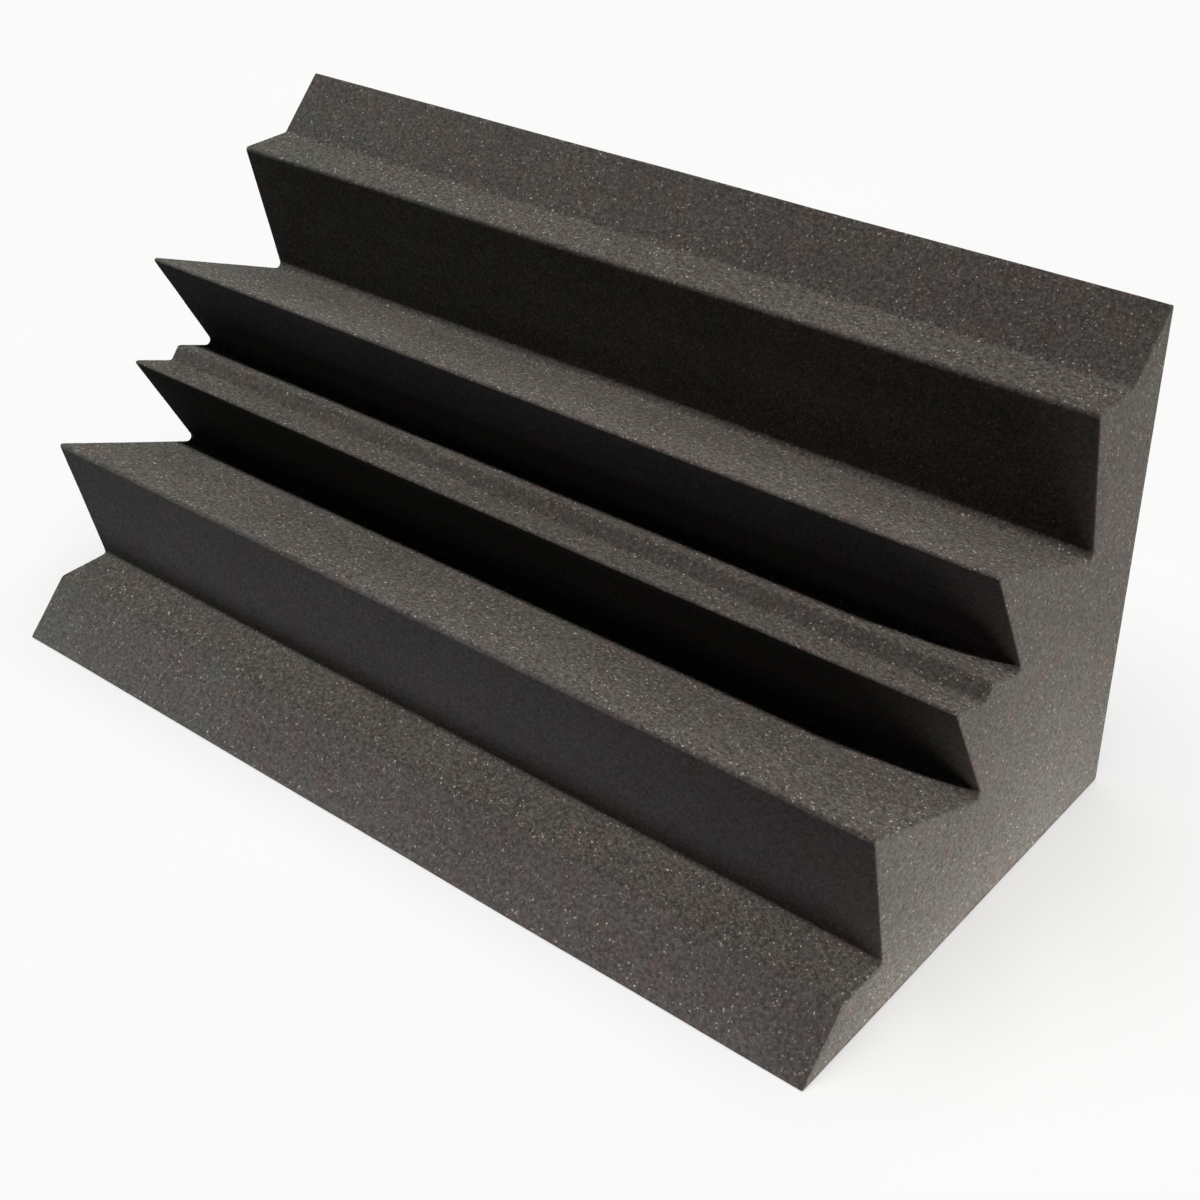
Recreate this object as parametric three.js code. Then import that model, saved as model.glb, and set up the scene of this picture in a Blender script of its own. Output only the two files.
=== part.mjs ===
// Corner bass trap: one bar of charcoal open-cell acoustic foam. Two flat legs meet at a right
// angle, and a zigzag of wedges runs from the free end of one leg to the free end of the other.
//
// X runs along the bar, +Y points to the wall behind it and +Z points up. The origin is the middle
// of the bottom face. All lengths are in millimetres.

import * as THREE from 'three';

// Bar
const LENGTH = 609.6; // 24 in
const LEG = 297; // height of the back face, and depth of the bottom face

// Lip at the free end of each leg
const BEVEL = 32.4; // rise and run of its sloping face, which ends in a knife edge
const SHELF_WIDTH = 35; // level step between the sloping face and the first undercut

// Small step in the middle, where the two halves of the zigzag meet
const STEP_RUN = 7.2;
const STEP_DROP = 8.4;

// Roundness that the cutting wire leaves
const EDGE_RADIUS = 1.2; // wedge tips and shallow corners
const VALLEY_RADIUS = 3; // deep valleys between wedges
const ARC_HALF_STEPS = 3; // flats in half of each rounded corner

// Wedges of the upper half of the zigzag, as shares of LEG out from the wall and up
const firstValleyShares = [0.169, 0.585];
const wedgeTipShares = [0.518, 0.732];
const secondValleyShares = [0.389, 0.475];

// A corner of the section is given by its distance out from the wall, its height and its radius
function corner(out, up, radius) {
  return { out, up, radius };
}

function sharedCorner([outShare, upShare], radius) {
  return corner(outShare * LEG, upShare * LEG, radius);
}

// Half of the zigzag, from the top of the back face down to the small middle step
function halfZigzag(tipRadius, valleyRadius) {
  const shelfHeight = LEG - BEVEL;
  return [
    corner(0, LEG, 0),
    corner(BEVEL, shelfHeight, EDGE_RADIUS),
    corner(BEVEL + SHELF_WIDTH, shelfHeight, EDGE_RADIUS),
    sharedCorner(firstValleyShares, valleyRadius),
    sharedCorner(wedgeTipShares, tipRadius),
    sharedCorner(secondValleyShares, valleyRadius),
    corner((LEG - STEP_RUN) / 2, (LEG + STEP_DROP) / 2, EDGE_RADIUS),
  ];
}

// Two bars are cut from one square bar and nest in it, so the lower half of the zigzag is the upper
// half after half a turn about the middle of the square. The turn makes tips of valleys and valleys
// of tips, so their radii change places.
function zigzag() {
  const upper = halfZigzag(EDGE_RADIUS, VALLEY_RADIUS);
  const lower = halfZigzag(VALLEY_RADIUS, EDGE_RADIUS).reverse();
  const turned = lower.map(({ out, up, radius }) => corner(LEG - out, LEG - up, radius));
  return [...upper, ...turned];
}

// Place of a corner in the plane of the section, whose first axis points to the wall
function place({ out, up }) {
  return new THREE.Vector2(LEG / 2 - out, up);
}

// Adds a sharp corner as a point, and a rounded one as an arc that touches both of its sides
function addCorner(shape, before, here, after) {
  const point = place(here);
  if (here.radius === 0) {
    shape.lineTo(point.x, point.y);
    return;
  }
  const toBefore = place(before).sub(point).normalize();
  const toAfter = place(after).sub(point).normalize();
  const halfAngle = toBefore.angleTo(toAfter) / 2;
  const toCentre = toBefore.clone().add(toAfter).normalize();
  const centre = point.clone().addScaledVector(toCentre, here.radius / Math.sin(halfAngle));
  const reach = here.radius / Math.tan(halfAngle);
  const start = point.clone().addScaledVector(toBefore, reach).sub(centre);
  const end = point.clone().addScaledVector(toAfter, reach).sub(centre);
  const clockwise = toBefore.cross(toAfter) > 0;
  shape.absarc(centre.x, centre.y, here.radius, start.angle(), end.angle(), clockwise);
}

// Section across the bar, from the heel where the two legs meet, up the back and down the zigzag
function section() {
  const heel = corner(0, 0, 0);
  const corners = [heel, ...zigzag(), heel];
  const shape = new THREE.Shape();
  shape.moveTo(place(heel).x, place(heel).y);
  for (let i = 1; i < corners.length - 1; i++) {
    addCorner(shape, corners[i - 1], corners[i], corners[i + 1]);
  }
  shape.closePath();
  return shape;
}

function foamBlock() {
  const geometry = new THREE.ExtrudeGeometry(section(), {
    depth: LENGTH,
    bevelEnabled: false,
    curveSegments: ARC_HALF_STEPS,
  });
  const charcoalFoam = new THREE.MeshStandardMaterial({
    color: 0x4b4741,
    roughness: 0.97,
    metalness: 0,
  });
  const block = new THREE.Mesh(geometry, charcoalFoam);
  block.name = 'foam_block';
  // The section's first axis turns to Y, its second to Z, and its depth to X
  block.rotation.set(Math.PI / 2, Math.PI / 2, 0);
  block.position.x = -LENGTH / 2;
  return block;
}

const bassTrap = new THREE.Group();
bassTrap.name = 'corner_bass_trap';
bassTrap.add(foamBlock());

export default bassTrap;
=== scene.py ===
"""Looks of the corner bass trap: one bar of charcoal open-cell foam on a pale floor.

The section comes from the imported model. The bar is rebuilt from it as a fine mesh with soft edges
and the slight unevenness of wire-cut foam, and its cells are drawn by a procedural material.
"""
import bisect
import math
import random

import bmesh
import bpy
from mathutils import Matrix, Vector, noise
from mathutils.geometry import delaunay_2d_cdt


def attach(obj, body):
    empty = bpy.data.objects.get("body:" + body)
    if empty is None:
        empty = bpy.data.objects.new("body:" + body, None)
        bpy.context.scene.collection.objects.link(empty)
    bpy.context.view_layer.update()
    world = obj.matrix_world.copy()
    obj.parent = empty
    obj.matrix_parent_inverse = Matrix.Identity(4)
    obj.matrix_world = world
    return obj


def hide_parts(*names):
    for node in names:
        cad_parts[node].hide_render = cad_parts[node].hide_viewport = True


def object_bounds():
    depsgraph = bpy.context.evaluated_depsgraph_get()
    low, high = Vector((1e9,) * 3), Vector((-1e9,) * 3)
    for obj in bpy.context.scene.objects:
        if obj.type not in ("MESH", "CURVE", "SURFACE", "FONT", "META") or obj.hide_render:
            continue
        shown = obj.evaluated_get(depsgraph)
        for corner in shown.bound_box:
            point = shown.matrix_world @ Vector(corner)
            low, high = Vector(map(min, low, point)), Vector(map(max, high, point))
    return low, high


MM = 0.001
SEED = 7
UP = (0, 0, 1)
DOWN = (0, 0, -1)

# Camera, solved from the edges in the photo
CAMERA_PLACE = (0.6186, -0.6482, 0.6747)
CAMERA_AZIMUTH = 40.757
CAMERA_ELEVATION = 33.811
CAMERA_ROLL = -1.594
CAMERA_LENS_MM = 54.58

# Foam mesh
GRID = 3.6 * MM  # side of a face on the flat stretches
CAP_GRID = 4.0 * MM  # spacing of the points inside the end faces
CAP_JITTER = CAP_GRID / 6
CAP_CLEARANCE = CAP_GRID / 2  # least distance from those points to the outline
EDGE_REACH = 4.0 * MM  # strip beside each edge where the points lie closer together
EDGE_STEP = 0.8 * MM
KNIFE_RADIUS = 0.3 * MM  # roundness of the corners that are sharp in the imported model
KNIFE_ARC_STEPS = 4
KNIFE_TURN = math.radians(40)  # a corner that turns more than this is such a corner
END_NORMAL = 0.99  # least part of an end face's normal that lies along the bar
EDGE_WEAR = 1.1 * MM  # how far all corners are worn round on top of that
WEAR_SPREADS = 2.5  # the wear takes in the outline up to this many times EDGE_WEAR away
WEAR_TAPS = 8
RIM_RADIUS = 0.6 * MM  # roundness of the rims of the end faces
RIM_STEPS = 3
WELD = 0.01 * MM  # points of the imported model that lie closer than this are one
NET_WELD = 0.001 * MM  # and so are those of the net of an end face
FILL_INSIDE = 1  # the triangulation's mode that leaves nothing outside the outline

# Unevenness of the cut, each as (height, wavelength)
SWELL = (0.35 * MM, 110 * MM)
RIPPLE = (0.10 * MM, 14 * MM)
RIPPLE_STRETCH = 12  # how much longer a ripple is along the bar than across it
GRAIN = 0.03 * MM

# Colours of the foam's cells
PORE = (0.050, 0.0476, 0.0438, 1)
WALL = (0.094, 0.0885, 0.0815, 1)
STRUT = (0.067, 0.0635, 0.0585, 1)
# painted glint: a pale cell colour in place of light that the foam's cells catch
PAINTED_GLINT = (0.254, 0.243, 0.231, 1)
# painted glint: colour of the larger flecks, in place of light that the foam catches
PAINTED_GLINT_FLECK = (0.262, 0.25, 0.236, 1)

# Tints, which multiply those colours
WARM_TINT = (1.10, 0.955, 0.965, 1)
COOL_TINT = (0.97, 1.01, 0.975, 1)
LEFT_TINT = (0.95, 1.0, 0.985, 1)
RIGHT_TINT = (1.03, 0.995, 0.985, 1)

# Cells of the foam
CELL = 0.85 * MM
RISE = (0.54, -0.63, 0.556)  # way that the foam rose, and its cells are longer that way
CELL_STRETCH = 1.8  # how much longer
WALL_RARITY = 2.0  # the greater, the fewer cells show a pale wall
WALL_MEAN_SHARE = 0.33  # mean share of the wall's colour that this rarity gives
STRUT_EDGE = (0.02, 0.2)  # distance from a cell's border over which its strut fades, in cells
STRUT_SHARE = 0.6
PAINTED_GLINT_SHARE = 0.02  # share of the cells that carry a painted glint
CELL_TILT = 0.45  # how far each cell leans at random
FACET_STIFFNESS = 0.15  # the greater, the less the shiny facets lean
FACET_RARITY = 1.5  # the greater, the fewer facets shine
FACET_GLOSS = 0.5
FACET_ROUGHNESS = 0.6
FACET_IOR = 1.7
FOAM_ROUGHNESS = 0.9
FOAM_DIFFUSE_ROUGHNESS = 1.0
MID_GREY = (0.5, 0.5, 0.5)  # middle of the random colours that lean the cells

# Soft noise over the cells, each as (size, range of the noise, what it gives at both ends)
BLOTCH = (2.2 * MM, (0.28, 0.72), (-0.42, 0.42))
DRIFT = (70 * MM, (0.3, 0.7), (0.95, 1.05))

# Patches of a tint, each as (tint, size, place in the noise's fourth dimension)
PATCHES = ((WARM_TINT, 13 * MM, 3.0), (COOL_TINT, 26 * MM, 8.0))
PATCH_RANGE = (0.42, 0.7)  # noise over which a patch comes in

# Larger flecks of painted glint
GLINT_FLECK_SPACING = 2.6 * MM
GLINT_FLECK_REACH = 0.14  # radius of a painted glint fleck, as a share of the spacing
GLINT_FLECK_FADE = 0.08  # width of its soft rim, likewise
GLINT_FLECK_SHARE = 0.17  # share of the places that have a painted glint fleck, most of them faint
GLINT_FLECK_HUES = 0.06  # how much the hues of the painted glint flecks differ

# Shares for faces that look down, upright ones and those that look up
PAINTED_SHADE_SHARES = (0.65, 1.0, 1.0)  # painted shade: the foam's colour darkened on faces that look down
COLOUR_SHARES = (0.42, 0.54, 0.90)  # strength of the grain in its colour
LEAN_AND_GLINT_SHARES = (0.14, 0.64, 1.38)  # and in the lean of its cells, the gloss of its facets, its painted glints and its painted glint flecks
UNDERCUT_RISE = (-0.16, -0.02)  # upward part of the normal between the first and the second
TOP_RISE = (0.5, 0.92)  # and between the second and the third
END_LEAN = (0.3, 0.9)  # part of the normal along the bar, from its long faces to its end faces

# Stage
FLOOR_RADIUS = 14.0
FLOOR_SIDES = 96
FLOOR_COLOUR = (0.80, 0.80, 0.795, 1)
FLOOR_ROUGHNESS = 1.0
MOTTLE_SHADE = 0.985  # brightness of the darker patches of the floor
MOTTLE_SIZE = 0.5
MOTTLE_RANGE = (0.3, 0.7)  # noise over which such a patch gives way to the floor's colour
MOTTLE_DETAIL = 4.0
BACKDROP = (0.955, 0.955, 0.95, 1)  # as bright as the floor, so that no horizon shows

# Main light: nearly parallel rays from the right and above, a little to the front
KEY_DIRECTION = (0.778, -0.175, 0.611)
KEY_STRENGTH = 4.05
KEY_SPREAD = 3.2
KEY_COLOUR = (1.0, 0.955, 0.915)

# Soft lights on the foam, as (name, direction to the light, strength, spread in degrees)
SOFT_LIGHTS = (
    ("right_fill", (1.0, 0.0, 0.25), 0.5, 30),
    ("right_back_fill", (0.8, 0.6, 0.25), 1.4, 70),
    ("front_fill", (0.0, -1.0, 0.12), 0.18, 24),
    ("top_back_fill", (0.1, 0.6, 0.8), 1.43, 50),
    ("back_fill", (-0.30, 0.95, 0.16), 2.2, 24),
    ("left_fill", (-1.0, 0.25, 0.06), 2.6, 16),
)

# Light that the bright floor throws up beside the bar, as two strips in front and one on the right
BOUNCE_LIFT = 0.2 * MM
FRONT_BOUNCE_COLOUR = (0.98, 0.97, 1.14)
SIDE_BOUNCE_COLOUR = (1.0, 0.98, 0.97)
BOUNCE_LEFT = 300 * MM  # how far both front strips reach past the left end
FAR_BOUNCE_RIGHT = 100 * MM  # how far the far strip reaches past the right end
NEAR_BOUNCE = 90 * MM  # how far each strip reaches out from the bar
FAR_BOUNCE = 300 * MM
SIDE_BOUNCE = 150 * MM

# Glow of each strip, which is its radiance over pi
NEAR_GLOW = 1.25
FAR_GLOW = 0.42
SIDE_GLOW = 1.95
POWER_PER_GLOW = math.pi ** 2  # power of a strip of unit area and unit glow

# Light on the floor alone, from straight above
FLOOR_LIGHT = 3.78
FLOOR_LIGHT_SPREAD = 75
FLOOR_SHADOW_SHARE = 0.45  # share of that light which the bar keeps off the floor


def make_camera():
    camera = bpy.data.objects.new("camera", bpy.data.cameras.new("camera"))
    bpy.context.scene.collection.objects.link(camera)
    camera.data.lens = CAMERA_LENS_MM
    camera.location = CAMERA_PLACE
    tilt = math.radians(90 - CAMERA_ELEVATION)
    camera.rotation_euler = (tilt, 0, math.radians(CAMERA_AZIMUTH))
    camera.rotation_euler.rotate_axis("Z", math.radians(CAMERA_ROLL))
    bpy.context.scene.camera = camera


# Section of the bar


def packed_section(node):
    """Outline of the node's +X end face as (y, z) points in order."""
    cad = bmesh.new()
    cad.from_mesh(node.data)
    bmesh.ops.remove_doubles(cad, verts=cad.verts, dist=WELD)
    cad.normal_update()
    end = {f for f in cad.faces if f.normal.x > END_NORMAL}
    rim = [e for e in cad.edges if sum(f in end for f in e.link_faces) == 1]
    neighbours = {}
    for edge in rim:
        a, b = edge.verts
        neighbours.setdefault(a, []).append(b)
        neighbours.setdefault(b, []).append(a)
    start = rim[0].verts[0]
    walk = [start, neighbours[start][0]]
    while walk[-1] is not start:
        a, b = neighbours[walk[-1]]
        walk.append(a if b is walk[-2] else b)
    outline = [Vector((v.co.y, v.co.z)) for v in walk[:-1]]
    cad.free()
    area = sum(a.x * b.y - b.x * a.y for a, b in zip(outline, outline[1:] + outline[:1]))
    return outline if area > 0 else outline[::-1]


def rounded(outline):
    """The outline with an arc in place of each corner that turns sharply."""
    points = []
    for i, here in enumerate(outline):
        before = (outline[i - 1] - here).normalized()
        after = (outline[(i + 1) % len(outline)] - here).normalized()
        if math.pi - before.angle(after) < KNIFE_TURN:
            points.append(here)
            continue
        half = before.angle(after) / 2
        centre = here + (before + after).normalized() * (KNIFE_RADIUS / math.sin(half))
        reach = KNIFE_RADIUS / math.tan(half)
        first = here + before * reach - centre
        last = here + after * reach - centre
        for step in range(KNIFE_ARC_STEPS + 1):
            spoke = first.normalized().slerp(last.normalized(), step / KNIFE_ARC_STEPS)
            points.append(centre + spoke * KNIFE_RADIUS)
    return points


def distances_along(outline):
    """Distance of each corner from the first, measured round the outline, and the whole way round."""
    marks = [0.0]
    for here, there in zip(outline, outline[1:] + outline[:1]):
        marks.append(marks[-1] + (there - here).length)
    return marks


def point_at(outline, marks, distance):
    distance %= marks[-1]
    i = min(bisect.bisect_right(marks, distance), len(outline)) - 1
    here, there = outline[i], outline[(i + 1) % len(outline)]
    return here.lerp(there, (distance - marks[i]) / (marks[i + 1] - marks[i]))


def spaced(length):
    """Distances of the points on a straight stretch, close together near its ends, its end left out."""
    if length < 2 * EDGE_REACH + GRID:
        steps = max(1, round(length / EDGE_STEP))
        return [length * i / steps for i in range(steps)]
    close = round(EDGE_REACH / EDGE_STEP)
    near = [EDGE_REACH * i / close for i in range(close)]
    flat = length - 2 * EDGE_REACH
    steps = round(flat / GRID)
    middle = [EDGE_REACH + flat * i / steps for i in range(steps)]
    far = [length - EDGE_REACH + distance for distance in near]
    return near + middle + far


def worn(outline):
    """Points round the outline, each moved to the mean of the outline near it."""
    marks = distances_along(outline)
    shifts = [WEAR_SPREADS * step / WEAR_TAPS for step in range(-WEAR_TAPS, WEAR_TAPS + 1)]
    weights = [math.exp(-shift * shift / 2) for shift in shifts]
    points = []
    for mark, following in zip(marks, marks[1:]):
        for distance in spaced(following - mark):
            point = Vector((0, 0))
            for shift, weight in zip(shifts, weights):
                point += weight * point_at(outline, marks, mark + distance + shift * EDGE_WEAR)
            points.append(point / sum(weights))
    return points


def outward(points):
    """Unit vector out of the section at each point."""
    result = []
    for i, here in enumerate(points):
        before = (here - points[i - 1]).normalized()
        after = (points[(i + 1) % len(points)] - here).normalized()
        along = before + after
        result.append(Vector((along.y, -along.x)).normalized())
    return result


# Mesh of the bar


def swell_at(place):
    height, wavelength = SWELL
    return height * noise.noise(place / wavelength)


def ripple_at(place):
    """Ripple that runs along the bar, as the cutting wire does, and drifts slowly."""
    height, wavelength = RIPPLE
    drift = Vector((place.x / RIPPLE_STRETCH, place.y, place.z)) / wavelength
    return height * noise.noise(drift)


def unevenness(place, rng):
    return swell_at(place) + ripple_at(place) + rng.uniform(-GRAIN, GRAIN)


def stations(low, high):
    """Places of the rings along the bar, each with how far the outline is drawn in there."""
    rim = []
    for step in range(RIM_STEPS + 1):
        angle = math.pi / 2 * step / RIM_STEPS
        rim.append((RIM_RADIUS * (1 - math.cos(angle)), RIM_RADIUS * (1 - math.sin(angle))))
    first = low + RIM_RADIUS
    length = high - low - 2 * RIM_RADIUS
    middle = [(first + distance, 0) for distance in spaced(length)[1:]]
    near = [(low + depth, inset) for depth, inset in rim]
    far = [(high - depth, inset) for depth, inset in reversed(rim)]
    return near + middle + far


def make_sides(bar, points, rings, rng):
    """Rings of vertices round the outline, joined by quads. Gives the rings of vertices."""
    made = []
    normals = outward(points)
    ground = min(p.y for p in points)
    for x, inset in rings:
        ring = []
        for point, normal in zip(points, normals):
            place = Vector((x, point.x, point.y))
            place += Vector((0, normal.x, normal.y)) * (unevenness(place, rng) - inset)
            place.z = max(place.z, ground)
            ring.append(bar.verts.new(place))
        made.append(ring)
    count = len(points)
    for ring, following in zip(made, made[1:]):
        for i in range(count):
            j = (i + 1) % count
            bar.faces.new((ring[i], following[i], following[j], ring[j]))
    return made


def is_inside(point, edge):
    inside = False
    for a, b in zip(edge, edge[1:] + edge[:1]):
        if (a.y > point.y) != (b.y > point.y):
            if point.x < a.x + (b.x - a.x) * (point.y - a.y) / (b.y - a.y):
                inside = not inside
    return inside


def clearance(point, edge):
    return min((point - p).length for p in edge)


def inside_points(edge, rng):
    """Jittered grid of points inside the closed outline, clear of its edge."""
    low_y, high_y = min(p.x for p in edge), max(p.x for p in edge)
    low_z, high_z = min(p.y for p in edge), max(p.y for p in edge)
    row_height = CAP_GRID * math.sqrt(3) / 2
    points = []
    for row in range(int((high_z - low_z) / row_height)):
        z = low_z + row_height * (row + 0.5)
        offset = CAP_GRID * (row % 2) / 2
        for column in range(int((high_y - low_y) / CAP_GRID)):
            y = low_y + offset + CAP_GRID * (column + 0.5)
            jitter = Vector((rng.uniform(-1, 1), rng.uniform(-1, 1))) * CAP_JITTER
            point = Vector((y, z)) + jitter
            if is_inside(point, edge) and clearance(point, edge) > CAP_CLEARANCE:
                points.append(point)
    return points


def make_cap(bar, ring, outward_x, rng):
    """Fills an end face with a fine net that joins the ring."""
    edge = [Vector((v.co.y, v.co.z)) for v in ring]
    inner = inside_points(edge, rng)
    count = len(edge)
    sides = [(i, (i + 1) % count) for i in range(count)]
    net, _, faces, origins, _, _ = delaunay_2d_cdt(edge + inner, sides, [], FILL_INSIDE, NET_WELD)
    base = ring[0].co.x
    verts = []
    for point, sources in zip(net, origins):
        if sources and sources[0] < count:
            verts.append(ring[sources[0]])
            continue
        place = Vector((base, point.x, point.y))
        place.x += outward_x * unevenness(place, rng)
        verts.append(bar.verts.new(place))
    for face in faces:
        corners = [verts[i] for i in face]
        bar.faces.new(corners if outward_x > 0 else corners[::-1])


def make_foam(node, low, high):
    rng = random.Random(SEED)
    points = worn(rounded(packed_section(node)))
    bar = bmesh.new()
    rings = make_sides(bar, points, stations(low.x, high.x), rng)
    make_cap(bar, rings[0], -1, rng)
    make_cap(bar, rings[-1], 1, rng)
    bmesh.ops.recalc_face_normals(bar, faces=bar.faces)
    for face in bar.faces:
        face.smooth = True
    mesh = bpy.data.meshes.new("foam_block_cut")
    bar.to_mesh(mesh)
    bar.free()
    piece = bpy.data.objects.new("foam_block_cut", mesh)
    bpy.context.scene.collection.objects.link(piece)
    return piece


# Node helpers. A socket's value may be a number, a colour or the output that feeds it.


def connect(tree, value, socket):
    if isinstance(value, bpy.types.NodeSocket):
        tree.links.new(value, socket)
    else:
        socket.default_value = value


def add(tree, kind, sockets=None, **settings):
    """Adds a node. sockets maps the names or numbers of its inputs to their values."""
    made = tree.nodes.new(kind)
    for name, value in settings.items():
        setattr(made, name, value)
    for key, value in (sockets or {}).items():
        connect(tree, value, made.inputs[key])
    return made


def math_node(tree, operation, first, second=0.0, third=0.0):
    sockets = {0: first, 1: second, 2: third}
    return add(tree, "ShaderNodeMath", sockets, operation=operation).outputs[0]


def vector_math(tree, operation, first, second=(0, 0, 0), third=(0, 0, 0)):
    sockets = {0: first, 1: second, 2: third}
    return add(tree, "ShaderNodeVectorMath", sockets, operation=operation).outputs[0]


def ramp(tree, value, low, high, to_low=0.0, to_high=1.0):
    sockets = {"Value": value, "From Min": low, "From Max": high, "To Min": to_low, "To Max": to_high}
    kind = "ShaderNodeMapRange"
    return add(tree, kind, sockets, interpolation_type="SMOOTHSTEP").outputs["Result"]


def mixed(tree, factor, first, second, blend="MIX"):
    sockets = {0: factor, 6: first, 7: second}
    return add(tree, "ShaderNodeMix", sockets, data_type="RGBA", blend_type=blend).outputs[2]


def multiplied(tree, first, second):
    return mixed(tree, 1.0, first, second, "MULTIPLY")


def mixed_number(tree, factor, first, second):
    sockets = {0: factor, 2: first, 3: second}
    return add(tree, "ShaderNodeMix", sockets, data_type="FLOAT").outputs[0]


def parts(tree, vector):
    """Outputs X, Y and Z of the vector."""
    return add(tree, "ShaderNodeSeparateXYZ", {0: vector}).outputs


def channels(tree, colour):
    """Outputs Red, Green and Blue of the colour."""
    return add(tree, "ShaderNodeSeparateColor", {"Color": colour}).outputs


def cloud(tree, at, size, detail=2.0, w=0.0):
    """Soft noise about 0.5 whose blotches are about size across."""
    sockets = {"Vector": at, "W": w, "Scale": 1 / size, "Detail": detail}
    return add(tree, "ShaderNodeTexNoise", sockets, noise_dimensions="4D").outputs["Fac"]


def stretched(tree, place):
    """Coordinates in which the foam's cells are as long as they are wide."""
    way = Vector(RISE).normalized()
    product = add(tree, "ShaderNodeVectorMath", {0: place, 1: way}, operation="DOT_PRODUCT")
    along = product.outputs["Value"]
    return vector_math(tree, "MULTIPLY_ADD", along, way * (1 / CELL_STRETCH - 1), place)


def by_slope(tree, undercut, side, top):
    """Value that goes from undercut on faces that look down, by side on upright ones, to top."""
    rise = parts(tree, add(tree, "ShaderNodeTexCoord").outputs["Normal"])["Z"]
    lower = ramp(tree, rise, *UNDERCUT_RISE, undercut, side)
    upper = ramp(tree, rise, *TOP_RISE, 0.0, top - side)
    return math_node(tree, "ADD", lower, upper)


# Materials


def cell_colour(tree, at, chance, share, painted_glint_share):
    """Dark pores, paler walls, a net of struts and a few cells with a painted glint."""
    cells = {"Vector": at, "Scale": 1 / CELL}
    border = add(tree, "ShaderNodeTexVoronoi", cells, feature="DISTANCE_TO_EDGE").outputs["Distance"]
    strut = ramp(tree, border, *STRUT_EDGE, STRUT_SHARE, 0.0)
    wall = math_node(tree, "POWER", chance.outputs["Value"], WALL_RARITY)
    wall = math_node(tree, "SUBTRACT", wall, WALL_MEAN_SHARE)
    wall = math_node(tree, "MULTIPLY_ADD", wall, share, WALL_MEAN_SHARE)
    colour = mixed(tree, wall, PORE, WALL)
    colour = mixed(tree, strut, colour, STRUT)
    # painted glint: a few cells turn pale, more so on faces that look up
    painted_glint = ramp(tree, channels(tree, chance.outputs["Color"])["Blue"], 1 - PAINTED_GLINT_SHARE, 1.0)
    return mixed(tree, math_node(tree, "MULTIPLY", painted_glint, painted_glint_share), colour, PAINTED_GLINT)


def soft_noise(tree, at, size, span, values):
    """Soft noise that gives the first of the values below the span and the second above it."""
    return ramp(tree, cloud(tree, at, size), *span, *values)


def with_tones_and_painted_shade(tree, at, colour, share, painted_shade):
    """Adds pale and dark blotches, a slow drift, painted shade on faces that look down, and patches of
    the tints.
    """
    blotch = math_node(tree, "MULTIPLY_ADD", soft_noise(tree, at, *BLOTCH), share, 1.0)
    drift = soft_noise(tree, at, *DRIFT)
    # the random blotches and drift, times the painted shade on faces that look down
    tone_and_painted_shade = math_node(tree, "MULTIPLY", math_node(tree, "MULTIPLY", blotch, drift), painted_shade)
    tone_and_shade_grey = add(tree, "ShaderNodeCombineColor", {0: tone_and_painted_shade, 1: tone_and_painted_shade, 2: tone_and_painted_shade}).outputs[0]
    colour = multiplied(tree, colour, tone_and_shade_grey)
    for tint, size, w in PATCHES:
        patch = ramp(tree, cloud(tree, at, size, w=w), *PATCH_RANGE)
        colour = mixed(tree, patch, colour, multiplied(tree, colour, tint))
    return colour


def with_hue_drift(tree, place, colour, low_x, high_x):
    """Drifts from one tint at the left end to another at the right. End faces get the mean of both."""
    sockets = {"Value": parts(tree, place)["X"], "From Min": low_x, "From Max": high_x}
    along = add(tree, "ShaderNodeMapRange", sockets).outputs["Result"]
    sideways = parts(tree, add(tree, "ShaderNodeTexCoord").outputs["Normal"])["X"]
    ending = ramp(tree, math_node(tree, "ABSOLUTE", sideways), *END_LEAN)
    share = mixed_number(tree, ending, along, 1 / 2)
    return multiplied(tree, colour, mixed(tree, share, LEFT_TINT, RIGHT_TINT))


def with_painted_glint_flecks(tree, at, colour, share):
    """Adds the larger flecks of painted glint, a few of them bright and many faint."""
    glint_flecks = {"Vector": at, "Scale": 1 / GLINT_FLECK_SPACING}
    glint_fleck = add(tree, "ShaderNodeTexVoronoi", glint_flecks, feature="F1")
    luck = add(tree, "ShaderNodeTexWhiteNoise", {"Vector": glint_fleck.outputs["Position"]})
    near = ramp(tree, glint_fleck.outputs["Distance"], GLINT_FLECK_REACH, GLINT_FLECK_REACH + GLINT_FLECK_FADE, 1.0, 0.0)
    lucky = ramp(tree, luck.outputs["Value"], 1 - GLINT_FLECK_SHARE, 1.0)
    hue = mixed(tree, GLINT_FLECK_HUES, PAINTED_GLINT_FLECK, glint_fleck.outputs["Color"])
    # painted glint: flecks of pale colour, more so on faces that look up
    spot = math_node(tree, "MULTIPLY", near, lucky)
    return mixed(tree, math_node(tree, "MULTIPLY", spot, share), colour, hue)


def facing_out(tree, vector, flat):
    """The vector, or its opposite where it points into the foam."""
    opposite = vector_math(tree, "MULTIPLY", vector, (-1, -1, -1))
    return vector_math(tree, "FACEFORWARD", opposite, vector, flat)


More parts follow.
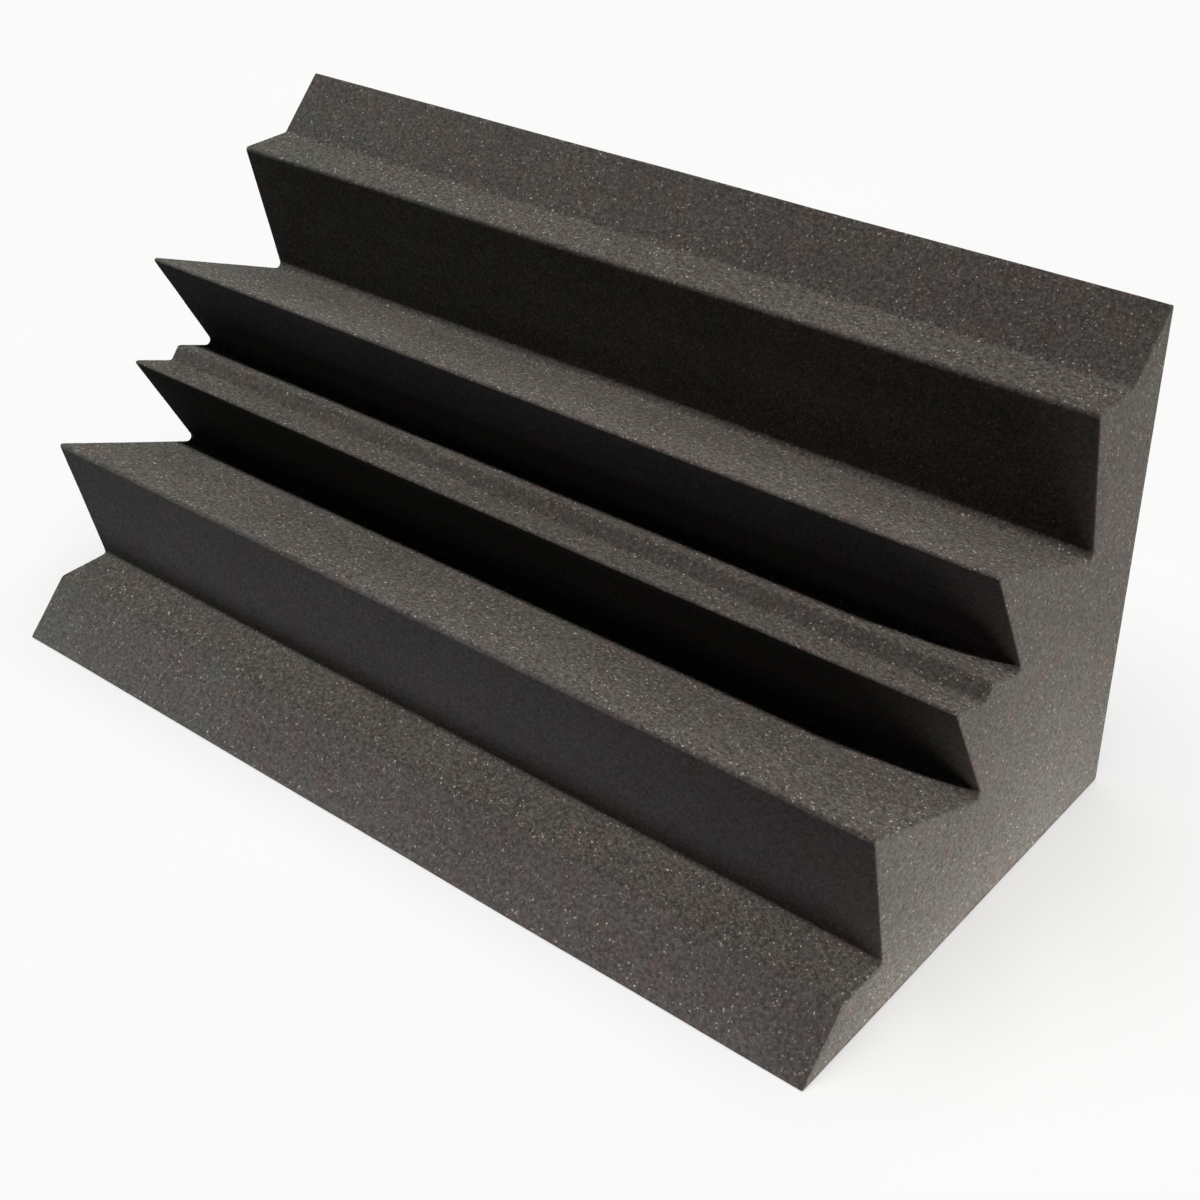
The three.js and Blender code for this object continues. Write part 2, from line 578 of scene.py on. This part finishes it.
def foam_material(low_x, high_x):
    material = bpy.data.materials.new("charcoal_foam")
    material.use_nodes = True
    tree = material.node_tree
    shader = tree.nodes["Principled BSDF"]
    place = add(tree, "ShaderNodeTexCoord").outputs["Object"]
    at = stretched(tree, place)
    flat = add(tree, "ShaderNodeNewGeometry").outputs["Normal"]
    cell = add(tree, "ShaderNodeTexVoronoi", {"Vector": at, "Scale": 1 / CELL}, feature="F1")
    chance = add(tree, "ShaderNodeTexWhiteNoise", {"Vector": cell.outputs["Position"]})

    colour_share = by_slope(tree, *COLOUR_SHARES)
    # strength of the cells' lean and gloss, and of the painted glints and glint flecks, greater on
    # faces that look up
    lean_and_glint_share = by_slope(tree, *LEAN_AND_GLINT_SHARES)
    colour = cell_colour(tree, at, chance, colour_share, lean_and_glint_share)
    # painted shade: the foam's colour is darkened on faces that look down
    colour = with_tones_and_painted_shade(tree, at, colour, colour_share, by_slope(tree, *PAINTED_SHADE_SHARES))
    colour = with_hue_drift(tree, place, colour, low_x, high_x)
    colour = with_painted_glint_flecks(tree, at, colour, lean_and_glint_share)

    # Each cell leans at random, and has a shiny facet that leans far more
    random_way = vector_math(tree, "SUBTRACT", cell.outputs["Color"], MID_GREY)
    tilt = math_node(tree, "MULTIPLY", lean_and_glint_share, CELL_TILT)
    lean = vector_math(tree, "MULTIPLY_ADD", random_way, tilt, flat)
    facet = facing_out(tree, random_way, flat)
    facet = vector_math(tree, "MULTIPLY_ADD", flat, (FACET_STIFFNESS,) * 3, facet)
    luck = channels(tree, chance.outputs["Color"])["Green"]
    gloss = math_node(tree, "POWER", luck, FACET_RARITY)
    gloss = math_node(tree, "MULTIPLY", gloss, math_node(tree, "MULTIPLY", lean_and_glint_share, FACET_GLOSS))

    connect(tree, colour, shader.inputs["Base Color"])
    connect(tree, vector_math(tree, "NORMALIZE", lean), shader.inputs["Normal"])
    connect(tree, vector_math(tree, "NORMALIZE", facet), shader.inputs["Coat Normal"])
    connect(tree, gloss, shader.inputs["Coat Weight"])
    shader.inputs["Coat Roughness"].default_value = FACET_ROUGHNESS
    shader.inputs["Coat IOR"].default_value = FACET_IOR
    shader.inputs["Roughness"].default_value = FOAM_ROUGHNESS
    shader.inputs["Specular IOR Level"].default_value = 0.0
    shader.inputs["Diffuse Roughness"].default_value = FOAM_DIFFUSE_ROUGHNESS
    return material


def floor_material():
    material = bpy.data.materials.new("pale_floor")
    material.use_nodes = True
    tree = material.node_tree
    shader = tree.nodes["Principled BSDF"]
    at = add(tree, "ShaderNodeTexCoord").outputs["Object"]
    mottle = ramp(tree, cloud(tree, at, MOTTLE_SIZE, MOTTLE_DETAIL), *MOTTLE_RANGE)
    darker = tuple(MOTTLE_SHADE * c for c in FLOOR_COLOUR[:3]) + (1,)
    connect(tree, mixed(tree, mottle, darker, FLOOR_COLOUR), shader.inputs["Base Color"])
    shader.inputs["Roughness"].default_value = FLOOR_ROUGHNESS
    shader.inputs["Specular IOR Level"].default_value = 0.0
    return material


# Stage and light


def make_floor():
    plane = bmesh.new()
    bmesh.ops.create_circle(plane, cap_ends=True, radius=FLOOR_RADIUS, segments=FLOOR_SIDES)
    mesh = bpy.data.meshes.new("floor")
    plane.to_mesh(mesh)
    plane.free()
    floor = bpy.data.objects.new("floor", mesh)
    bpy.context.scene.collection.objects.link(floor)
    mesh.materials.append(floor_material())
    floor.visible_diffuse = False
    return floor


def make_world():
    """World that the camera sees as a pale backdrop, and that gives no light."""
    world = bpy.data.worlds.new("studio")
    bpy.context.scene.world = world
    world.use_nodes = True
    tree = world.node_tree
    tree.nodes.clear()
    seen = add(tree, "ShaderNodeLightPath").outputs["Is Camera Ray"]
    colour = mixed(tree, seen, (0, 0, 0, 1), BACKDROP)
    background = add(tree, "ShaderNodeBackground", {"Color": colour})
    output = add(tree, "ShaderNodeOutputWorld")
    connect(tree, background.outputs[0], output.inputs["Surface"])


def make_light(name, data, direction, receiver):
    """Light that shines against direction, on the receiver alone."""
    light = bpy.data.objects.new(name, data)
    bpy.context.scene.collection.objects.link(light)
    rays = Vector((0, 0, 0)) - Vector(direction)
    light.rotation_mode = "QUATERNION"
    light.rotation_quaternion = rays.to_track_quat("-Z", "Y")
    group = bpy.data.collections.new(name + "_lights")
    group.objects.link(receiver)
    light.light_linking.receiver_collection = group
    return light


def sun_light(name, direction, strength, degrees, receiver):
    data = bpy.data.lights.new(name, "SUN")
    data.energy = strength
    data.angle = math.radians(degrees)
    return make_light(name, data, direction, receiver)


def bounce_strip(name, low_x, high_x, low_y, high_y, glow, colour, receiver):
    """Strip of the floor between two corners that shines up at the receiver."""
    data = bpy.data.lights.new(name, "AREA")
    data.shape = "RECTANGLE"
    data.size, data.size_y = high_x - low_x, high_y - low_y
    data.energy = glow * data.size * data.size_y * POWER_PER_GLOW
    data.color = colour
    strip = make_light(name, data, DOWN, receiver)
    strip.location = ((low_x + high_x) / 2, (low_y + high_y) / 2, BOUNCE_LIFT)
    strip.visible_camera = False
    strip.visible_glossy = False


def light_foam(foam):
    key = sun_light("key", KEY_DIRECTION, KEY_STRENGTH, KEY_SPREAD, foam)
    key.data.color = KEY_COLOUR
    for name, direction, strength, degrees in SOFT_LIGHTS:
        sun_light(name, direction, strength, degrees, foam).visible_glossy = False


def make_bounce(foam, low, high):
    """Strips of the floor round a bar that reaches from low to high."""
    left, right = low.x - BOUNCE_LEFT, high.x + FAR_BOUNCE_RIGHT
    near, far = low.y - NEAR_BOUNCE, low.y - FAR_BOUNCE
    side = high.x + SIDE_BOUNCE
    strips = (
        ("near_bounce", left, high.x, near, low.y, NEAR_GLOW, FRONT_BOUNCE_COLOUR),
        ("far_bounce", left, right, far, near, FAR_GLOW, FRONT_BOUNCE_COLOUR),
        ("side_bounce", high.x, side, low.y, high.y, SIDE_GLOW, SIDE_BOUNCE_COLOUR),
    )
    for strip in strips:
        bounce_strip(*strip, foam)


def light_floor(floor):
    """Two lights, of which only the first is kept off by the bar."""
    shadowed = FLOOR_LIGHT * FLOOR_SHADOW_SHARE
    sun_light("floor_shadow_light", UP, shadowed, FLOOR_LIGHT_SPREAD, floor)
    clear = sun_light("floor_light", UP, FLOOR_LIGHT - shadowed, FLOOR_LIGHT_SPREAD, floor)
    clear.data.use_shadow = False


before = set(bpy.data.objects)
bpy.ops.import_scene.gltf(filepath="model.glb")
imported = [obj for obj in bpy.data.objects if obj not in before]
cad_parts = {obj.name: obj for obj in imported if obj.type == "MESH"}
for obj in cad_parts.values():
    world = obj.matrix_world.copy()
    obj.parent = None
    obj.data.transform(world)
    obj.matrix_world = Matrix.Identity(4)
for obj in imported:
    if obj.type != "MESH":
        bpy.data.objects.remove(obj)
cad_low, cad_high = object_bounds()
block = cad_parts["foam_block"]

make_camera()
foam = make_foam(block, cad_low, cad_high)
foam.data.materials.append(foam_material(cad_low.x, cad_high.x))
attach(foam, "root")
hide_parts("foam_block")

floor = make_floor()
make_world()
light_foam(foam)
make_bounce(foam, cad_low, cad_high)
light_floor(floor)
bpy.context.scene.view_settings.view_transform = "Standard"
